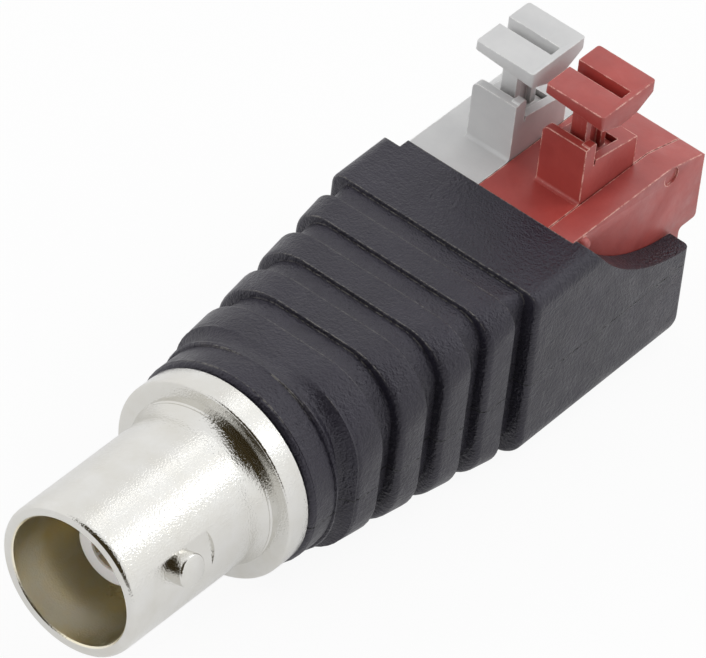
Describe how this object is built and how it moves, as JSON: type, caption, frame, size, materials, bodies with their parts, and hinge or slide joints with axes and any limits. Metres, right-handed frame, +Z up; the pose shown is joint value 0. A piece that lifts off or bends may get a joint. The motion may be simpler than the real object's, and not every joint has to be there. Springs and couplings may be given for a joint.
{
  "type": "bnc to screwless terminal adapter",
  "caption": "Bayonet coaxial socket in a ribbed soft boot that ends in a grey and a red push-lever wire terminal.",
  "frame": {"origin": "on the socket's axis in the plane of its mouth", "axes": "+Y along the socket's axis from the mouth to the wire entries, +Z up through the levers, +X to the red terminal"},
  "size_m": [0.0154, 0.0476, 0.019],
  "materials": {
    "nickel_plate": "bright nickel plate",
    "white_insulator": "satin",
    "contact_metal": "tin plate",
    "black_boot": "fine matt grain",
    "grey_plastic": "satin",
    "red_plastic": "satin",
    "spring_steel": "satin"
  },
  "bodies": {
    "adapter": {"bnc_shell": "nickel_plate", "lug_pin_right": "nickel_plate", "lug_pin_left": "nickel_plate", "insulator": "white_insulator", "rear_insulator": "white_insulator", "centre_contact": "contact_metal", "ground_tag": "contact_metal", "centre_lead": "contact_metal", "ground_lead": "contact_metal", "boot": "black_boot", "grey_housing": "grey_plastic", "red_housing": "red_plastic", "end_cover": "red_plastic", "grey_spring": "spring_steel", "red_spring": "spring_steel", "grey_contact_bar": "contact_metal", "red_contact_bar": "contact_metal"},
    "grey_push": {"grey_lever": "grey_plastic"},
    "red_push": {"red_lever": "red_plastic"}
  },
  "joints": [
    {"name": "grey_press", "type": "slide", "parent": "adapter", "child": "grey_push", "axis": [0, 0, -1], "range_m": [0, 0.0012], "stiffness_N_per_m": 2000, "springref_m": -0.001, "deforming": ["grey_spring"]},
    {"name": "red_press", "type": "slide", "parent": "adapter", "child": "red_push", "axis": [0, 0, -1], "range_m": [0, 0.0012], "stiffness_N_per_m": 2000, "springref_m": -0.001, "deforming": ["red_spring"]}
  ]
}
